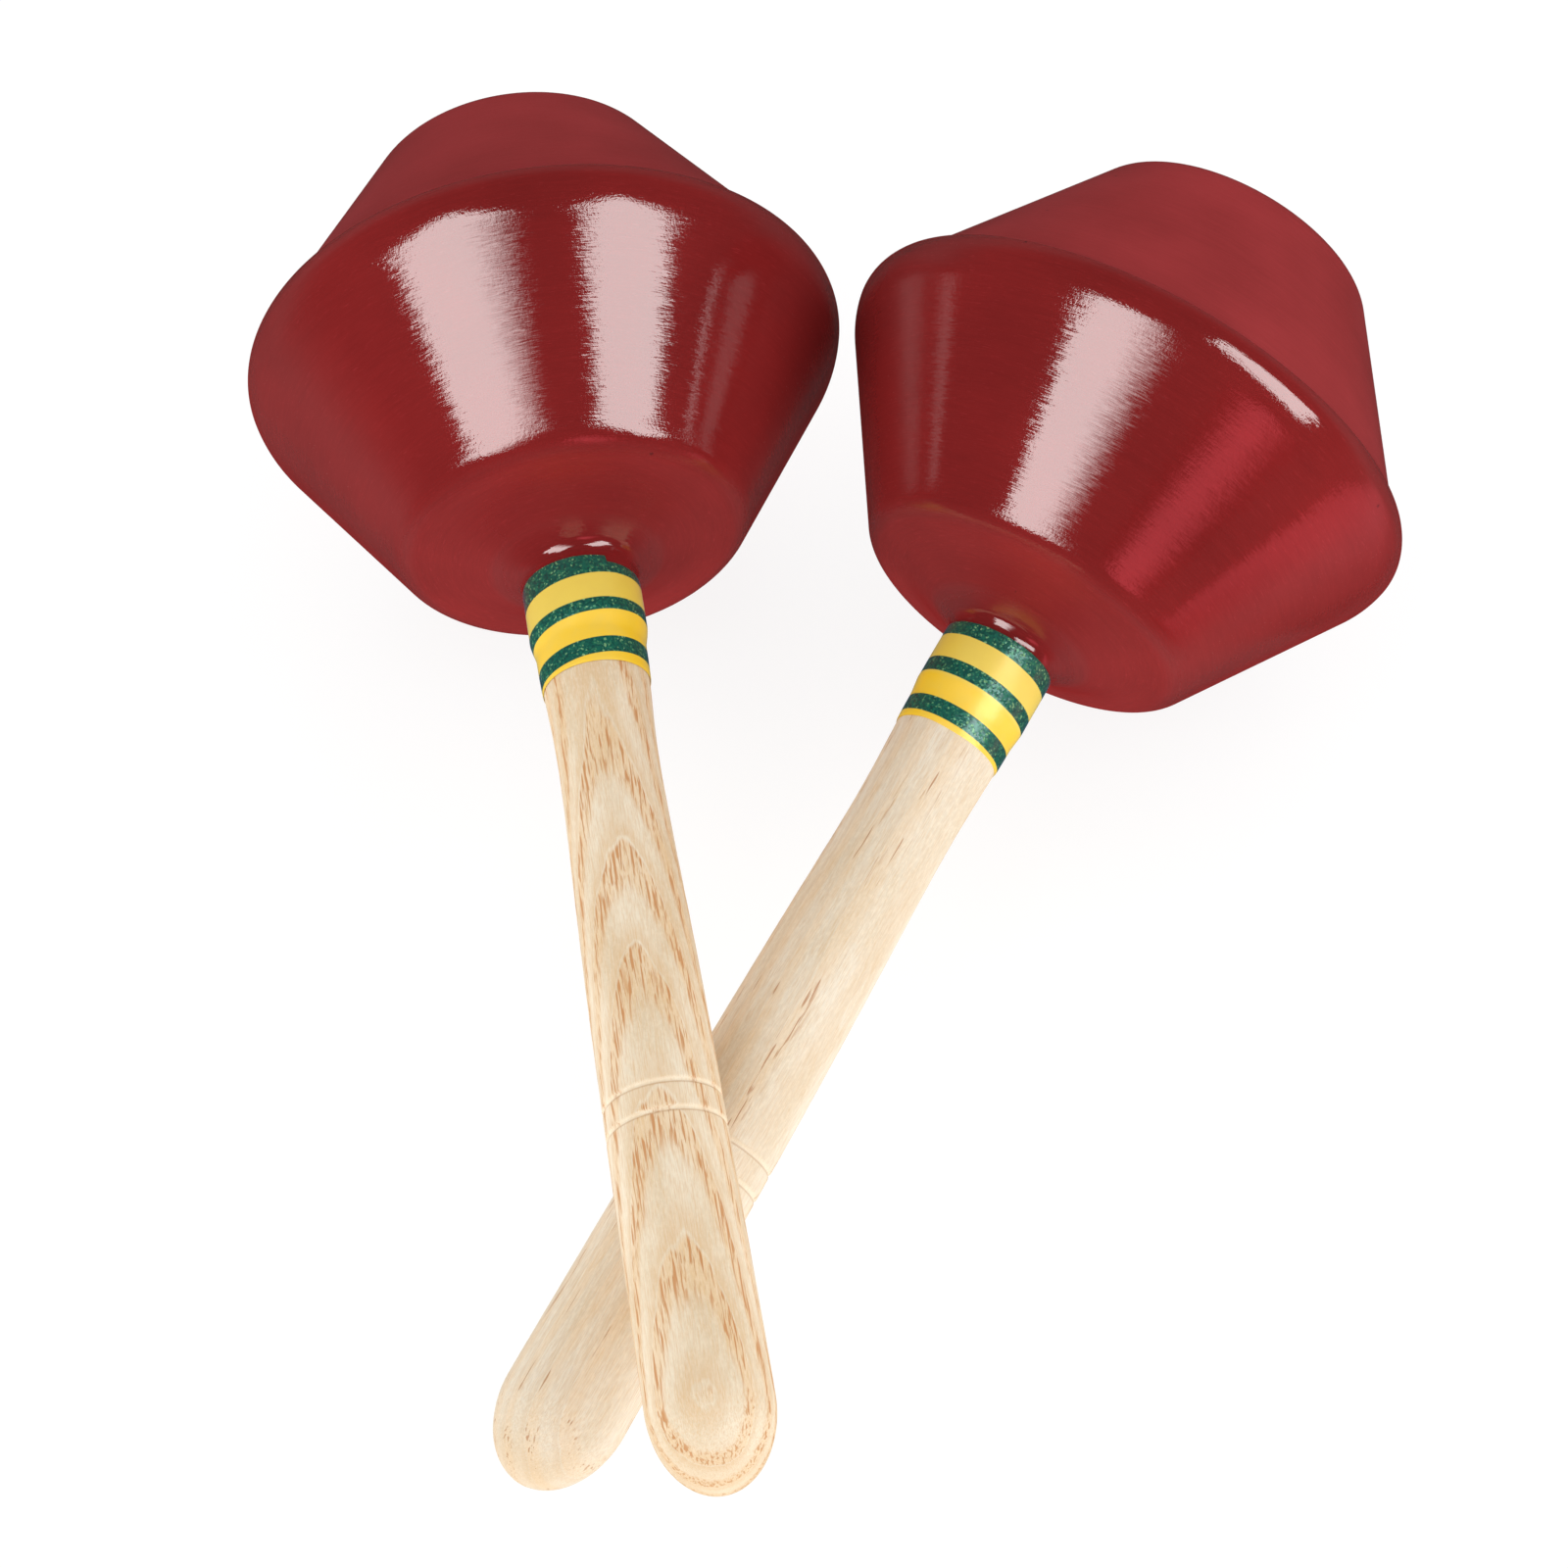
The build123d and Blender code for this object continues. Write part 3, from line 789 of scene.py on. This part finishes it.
def wood(side):
    """Pale ring-porous wood with its grain along the handle."""
    look, spec = WOOD[side], SIDES[side]
    mat = new_material(side + "_turned_wood")
    _, x, y, z = mat.own_place()

    def grain(across, along, shift, detail=1.0, rough=0.5, warp=0.0):
        return mat.streaks((x, y, z), across, along, spec["seed"] + shift, detail, rough, warp)

    # growth layers: nearly flat sheets that wander slowly
    face = math.radians(look["face"])
    slow_wander = grain(across=0.05, along=0.016, shift=0, detail=2.0)
    quick_wander = grain(across=0.35, along=0.06, shift=5, detail=2.0)
    depth = (x * math.cos(face) + y * math.sin(face) + z * look["slope"]
             + slow_wander * look["wander"] + quick_wander * 0.7)
    ring = mat.math("FRACT", (depth + LAYER_ORIGIN) / look["pitch"])
    early = ring.rise(lo=0.0, hi=0.05) * ring.fall(lo=0.30, hi=0.55)
    late = ring.rise(lo=0.70, hi=0.97) * ring.fall(lo=0.975, hi=1.0)

    # vessels: short thin dashes along the grain, mostly in the open early wood
    dashes = grain(across=2.6, along=0.19, shift=9, detail=1.5, warp=0.25)
    dots = grain(across=4.4, along=0.42, shift=19, warp=0.2)
    long_dashes = grain(across=1.9, along=0.11, shift=29, warp=0.15)
    patchy = grain(across=0.16, along=0.03, shift=31).rise(lo=0.42, hi=0.60)
    if side == "left":
        dashes = dashes.rise(lo=0.535, hi=0.62) * early.affine(gain=0.85, base=0.05)
        dots = dots.rise(lo=0.58, hi=0.68) * early.affine(gain=0.65, base=0.15)
        long_dashes = long_dashes.rise(lo=0.61, hi=0.69) * (early * patchy)
    else:
        dashes = (dashes.rise(lo=0.59, hi=0.68)
                  * (early.affine(gain=0.8, base=0.1) * patchy))
        dots = dots.rise(lo=0.70, hi=0.80) * 0.35
        long_dashes = (long_dashes.rise(lo=0.665, hi=0.725)
                       * early.affine(gain=0.8, base=0.1))
    pores = mat.math("MAXIMUM", dashes, mat.math("MAXIMUM", dots * 0.7, long_dashes),
                     clamp=True)
    fibre = grain(across=7.0, along=0.35, shift=51, detail=3.0, rough=0.6)
    rays = grain(across=2.2, along=1.1, shift=61, detail=3.0, rough=0.65)
    mottle = grain(across=0.11, along=0.035, shift=71, detail=3.0, rough=0.55)
    tool_marks = grain(across=0.04, along=2.4, shift=81, detail=2.0, rough=0.6)

    color = mat.mix(mottle.rise(lo=0.34, hi=0.68), look["pale"], look["warm"])
    color = mat.tint(color, srgb(238, 224, 200), rays.rise(lo=0.40, hi=0.66), strength=0.30)
    color = mat.tint(color, look["dark"], fibre.rise(lo=0.42, hi=0.66), strength=0.46)
    color = mat.tint(color, look["dark"], late, strength=look["late"])
    color = mat.tint(color, srgb(222, 176, 112), early, strength=look["early"])
    color = mat.tint(color, look["brown"], pores, strength=look["pores"])
    # turned grooves: a painted highlight band along each groove and a thin painted shadow line
    # on the butt's side
    for groove in GROOVES:
        away = z - (groove + spec["shift"])
        groove_painted_highlight = abs(away).fall(lo=0.20, hi=0.62)
        color = mat.tint(color, srgb(244, 230, 204), groove_painted_highlight, strength=0.34)
        # painted shadow: a thin darker line just under each groove
        line = abs(away + 0.46).fall(lo=0.05, hi=0.26)
        color = mat.tint(color, srgb(176, 132, 88), line, strength=0.42)
    # darker end grain at the butt's tip
    end = spec["handle"][-1][1]
    end_grain = z.fall(lo=end - 13.0, hi=end - 7.0)
    color = mat.tint(color, srgb(206, 172, 128), end_grain, strength=0.30)

    # relief in mm
    relief = pores * -0.045 + fibre * 0.020 + rays * 0.014 + tool_marks * 0.005
    return mat.principled({
        "Base Color": color,
        "Roughness": fibre.affine(gain=0.20, base=0.50),
        "Specular IOR Level": 0.32,
        "Normal": mat.bump(relief),
    })


# ------------------------------------------------------------------ striped tape
GREEN_FLAKES = (
    (0.0, srgb(4, 62, 58)), (0.45, srgb(5, 92, 80)), (0.78, srgb(16, 112, 86)),
    (0.93, srgb(76, 150, 104)), (1.0, srgb(160, 215, 150)),
)
GREEN_GROUND = ((0.0, srgb(4, 76, 74)), (1.0, srgb(14, 108, 84)))
BORDER_SOFTNESS = 0.06      # mm either side of a border


def striped(side):
    """Glittering green tape with plain yellow stripes under a clear film."""
    spec = SIDES[side]
    seed = spec["seed"]
    mat = new_material(side + "_stripes")
    place, x, y, z = mat.own_place()
    waver = mat.noise(place, scale=0.18, detail=2.0, rough=0.5)
    height = z + y * -spec["slant"] + (waver - 0.5) * 0.16

    def below(border):
        return height.fall(lo=border - BORDER_SOFTNESS, hi=border + BORDER_SOFTNESS)

    # borders run from the head down the handle; yellow lies between 1-2, 3-4 and below 5
    border1, border2, border3, border4, border5 = spec["stripes"][1:-1]
    yellow_mask = ((below(border1) - below(border2)) + (below(border3) - below(border4))
                   + below(border5))

    # glitter: tiny cells with their own lean and brightness
    flake_color = mat.cells(mat.vector("ADD", place, (seed, seed, seed)), scale=3.4)["Color"]
    ground_color = mat.cells(place, scale=2.3)["Color"]
    green = mat.mix(0.35,   # share of the ground over the flakes
                    mat.ramp(mat.first_channel(flake_color), GREEN_FLAKES),
                    mat.ramp(mat.first_channel(ground_color), GREEN_GROUND))
    facing = mat.facing()
    graze = facing.rise(lo=0.62, hi=0.98)
    green = mat.tint(green, srgb(12, 84, 112), graze, strength=0.80)
    cloud = mat.noise(place, scale=0.35, detail=2.0, rough=0.5)
    yellow = mat.mix(height.rise(lo=-18.6, hi=-17.6, start=1.0, end=0.0),
                     srgb(232, 202, 78), srgb(241, 197, 38))
    yellow = mat.tint(yellow, srgb(226, 194, 78), cloud.rise(lo=0.4, hi=0.7), strength=0.25)
    # painted sheen: the yellow is painted paler where the tape is seen at a slant
    yellow = mat.tint(yellow, srgb(214, 196, 120), graze, strength=0.45)
    color = mat.mix(yellow_mask, green, yellow)
    # painted reflection: a pale blue rim painted along the tape's outline
    color = mat.tint(color, srgb(140, 188, 214), facing.rise(lo=0.90, hi=1.0), strength=0.65)

    # flake normals under the film
    lean = mat.vector("SUBTRACT", flake_color, (0.5, 0.5, 0.5))
    lean = mat.vector("SCALE", lean, scale=(1.0 - yellow_mask) * 0.30)
    normal = mat.node("ShaderNodeNewGeometry").outputs["Normal"]
    film = mat.streaks((x, y, z), across=0.30, along=0.9, shift=seed, detail=2.0, rough=0.5)
    return mat.principled({
        "Base Color": color,
        "Metallic": (1.0 - yellow_mask) * 0.20,
        "Roughness": mat.mix(yellow_mask, (0.30, 0.30, 0.30), (0.42, 0.42, 0.42)),
        "Normal": mat.vector("NORMALIZE", mat.vector("ADD", normal, lean)),
        "Coat Weight": 0.45,
        "Coat Roughness": cloud.affine(gain=0.10, base=0.16),
        "Coat IOR": 1.45,
        "Coat Normal": mat.bump(film * 0.030),
    })


# ------------------------------------------------------------------ steel
def steel():
    mat = new_material("bright_steel")
    place = mat.vector("MULTIPLY", mat.object_place(), (1000.0, 1000.0, 1000.0))
    stain = mat.noise(place, scale=1.2, detail=3.0, rough=0.6)
    fine = mat.noise(place, scale=6.0, detail=2.0, rough=0.5)
    return mat.principled({
        "Base Color": mat.ramp(stain, [(0.35, (0.36, 0.36, 0.37)), (0.65, (0.58, 0.58, 0.59))]),
        "Metallic": 1.0,
        "Roughness": fine.affine(gain=0.25, base=0.20),
        "Normal": mat.bump(fine * 0.01),
    })


# ------------------------------------------------------------------ build
CROWN_SEED_STEP = 13    # sets the crown's texture apart from the base's

steel_material = steel()
for side, spec in SIDES.items():
    crown_seed = spec["seed"] + CROWN_SEED_STEP
    pieces = (
        (base_cup(side), "_base_cup", "red_lacquer", red_lacquer(side, "gloss", spec["seed"])),
        (crown_cup(side), "_crown_cup", "red_lacquer_crown",
         red_lacquer(side, "satin", crown_seed)),
        (handle(side), "_handle", "pale_wood", wood(side)),
        (tape(side), "_stripe_tape", "striped_tape", striped(side)),
    )
    for obj, node, slot, material in pieces:
        obj.data.materials.append(material)
        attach(obj, side + "_maraca")
        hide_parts(side + node)
    for node in ("_neck_brads", "_shot"):
        materials = frame["nodes"][side + node].data.materials
        materials.clear()
        materials.append(steel_material)


# ------------------------------------------------------------------ stage, metres
def softbox(name, azimuth, elevation, distance, across, upward, strength, fade_across,
            fade_upward, target=(0.0, 0.060, 0.055), color=(1.0, 0.985, 0.975)):
    """A flat glowing panel seen only in reflections. It lies from target at an azimuth
    (from +Y towards +X) and an elevation, in degrees. across and upward are its (low, high)
    edges; fade_* are the widths over which the light dies away at those edges."""
    a, e = math.radians(azimuth), math.radians(elevation)
    away = Vector((math.sin(a) * math.cos(e), math.cos(a) * math.cos(e), math.sin(e)))
    level = away.cross(Vector((0, 0, 1))).normalized()
    rising = level.cross(away).normalized()
    (u0, u1), (v0, v1) = across, upward
    mesh = bpy.data.meshes.new(name)
    mesh.from_pydata([(u0, v0, 0), (u1, v0, 0), (u1, v1, 0), (u0, v1, 0)], [], [(0, 1, 2, 3)])
    obj = bpy.data.objects.new(name, mesh)
    scene.collection.objects.link(obj)
    obj.matrix_world = pose(level, rising, away, Vector(target) + away * distance)
    obj.visible_camera = False
    obj.visible_shadow = False
    obj.visible_diffuse = False
    mat = new_material(name + "_glow")
    u, v, _ = mat.xyz(mat.object_place())
    fade = (u.rise(u0, u0 + fade_across[0]) * u.fall(u1 - fade_across[1], u1)
            * v.rise(v0, v0 + fade_upward[0]) * v.fall(v1 - fade_upward[1], v1))
    mesh.materials.append(mat.surface(mat.emission(color, fade * strength)))


softbox("softbox_left", azimuth=-148, elevation=43, distance=1.4, across=(-0.42, 0.53),
        upward=(-0.62, 0.58), strength=8.8, fade_across=(0.44, 0.06), fade_upward=(0.05, 0.05))
softbox("softbox_right", azimuth=125, elevation=38, distance=1.4, across=(-0.34, 0.29),
        upward=(-0.56, 0.58), strength=8.8, fade_across=(0.07, 0.07), fade_upward=(0.05, 0.05))
softbox("card_red", azimuth=164, elevation=10, distance=1.4, across=(-0.34, 0.26),
        upward=(-0.36, 0.42), strength=3.1, fade_across=(0.28, 0.24), fade_upward=(0.3, 0.3),
        color=(1.0, 0.13, 0.17))
# lies flat just above the table
softbox("table_sheen", azimuth=0, elevation=-89.9, distance=0.05, across=(-0.11, 0.10),
        upward=(-0.10, 0.09), strength=1.8, fade_across=(0.08, 0.06), fade_upward=(0.05, 0.05),
        target=(0.20, -0.05, 0.052), color=(1.0, 0.14, 0.18))


def area_light(name, place, power, size):
    """A round lamp aimed at the shakers and absent from reflections."""
    light = bpy.data.lights.new(name, "AREA")
    light.shape, light.size, light.energy = "DISK", size, power
    light.color = (1.0, 0.985, 0.965)
    obj = bpy.data.objects.new(name, light)
    scene.collection.objects.link(obj)
    obj.location = place
    obj.rotation_mode = "QUATERNION"
    aim = Vector((0, 0.03, 0.05)) - Vector(place)
    obj.rotation_quaternion = aim.to_track_quat("-Z", "Y")
    obj.visible_glossy = False
    obj.visible_camera = False


area_light("key", place=(-0.9, -0.9, 1.25), power=3.2, size=0.9)
area_light("side", place=(1.15, -0.3, 0.95), power=3.2, size=0.8)


def floor_material():
    """White table that shows a different strength to each kind of ray."""
    mat = new_material("floor_white")
    grain = mat.noise(mat.object_place(), scale=18.0, detail=4.0, rough=0.6)
    white = mat.ramp(grain, [(0.3, (0.86, 0.86, 0.86)), (0.7, (0.90, 0.90, 0.90))])
    matt = mat.node("ShaderNodeBsdfDiffuse", {"Color": white}).outputs[0]

    def glow(strength):
        return mat.emission((1.0, 1.0, 1.0), strength)

    def blend(share, first, second):
        return mat.node("ShaderNodeMixShader", {0: share, 1: first, 2: second}).outputs[0]

    rays = mat.node("ShaderNodeLightPath").outputs
    seen = blend(0.80, matt, glow(strength=1.06))   # near white with faint soft shadows
    bounce = glow(strength=2.0)                     # to matt surfaces: a bright table
    mirror = glow(strength=0.06)                    # in reflections: a dim film
    unseen = blend(rays["Is Glossy Ray"], bounce, mirror)
    return mat.surface(blend(rays["Is Camera Ray"], unseen, seen))


FLOOR_RADIUS, FLOOR_SEGMENTS, FLOOR_Z = 4.0, 64, -0.0001
floor_mesh = bpy.data.meshes.new("floor")
floor_angles = [2 * math.pi * k / FLOOR_SEGMENTS for k in range(FLOOR_SEGMENTS)]
floor_mesh.from_pydata(
    [(FLOOR_RADIUS * math.cos(a), FLOOR_RADIUS * math.sin(a), FLOOR_Z) for a in floor_angles],
    [], [tuple(range(FLOOR_SEGMENTS))])
floor = bpy.data.objects.new("floor", floor_mesh)
scene.collection.objects.link(floor)
floor_mesh.materials.append(floor_material())

# surroundings: white to the camera, dim in reflections, a soft even fill otherwise
FILL_HORIZON, FILL_ZENITH = 1.7, 1.05
WORLD_IN_REFLECTIONS = 0.06
WORLD_TO_CAMERA = 1.3
world = bpy.data.worlds.new("studio")
scene.world = world
sky = ShaderTree(world, "ShaderNodeOutputWorld")
ray_kind = sky.node("ShaderNodeLightPath").outputs
sky_height = sky.xyz(sky.node("ShaderNodeTexCoord").outputs["Generated"])[2]
fill = sky.node("ShaderNodeMapRange", {0: sky_height, 1: 0.0, 2: 1.0, 3: FILL_HORIZON,
                                       4: FILL_ZENITH}).outputs[0]
indirect = sky.node("ShaderNodeMix", {0: ray_kind["Is Glossy Ray"], 2: fill,
                                      3: WORLD_IN_REFLECTIONS}, data_type="FLOAT").outputs[0]
brightness = sky.node("ShaderNodeMix", {0: ray_kind["Is Camera Ray"], 2: indirect,
                                        3: WORLD_TO_CAMERA}, data_type="FLOAT").outputs[0]
sky.surface(sky.node("ShaderNodeBackground", {"Color": (0.8, 0.8, 0.8),
                                              "Strength": brightness}).outputs[0])
try:
    world.cycles.sampling_method = "NONE"
except Exception:   # guards against a Blender without the Cycles world settings
    pass

# ------------------------------------------------------------------ camera
CAMERA_PLACE = (-0.007111, -0.392004, 0.58936)
CAMERA_FORWARD = (0.0, 0.57858, -0.81563)
CAMERA_UP = (0.030075, 0.815257, 0.578318)
camera_data = bpy.data.cameras.new("camera")
camera_data.lens = 99.0
camera_data.sensor_width = 36.0
camera_data.clip_start, camera_data.clip_end = 0.01, 50.0
camera = bpy.data.objects.new("camera", camera_data)
scene.collection.objects.link(camera)
forward = Vector(CAMERA_FORWARD).normalized()
rightward = forward.cross(Vector(CAMERA_UP)).normalized()
upward = rightward.cross(forward).normalized()
camera.matrix_world = pose(rightward, upward, -forward, CAMERA_PLACE)
scene.camera = camera

bpy.context.view_layer.update()
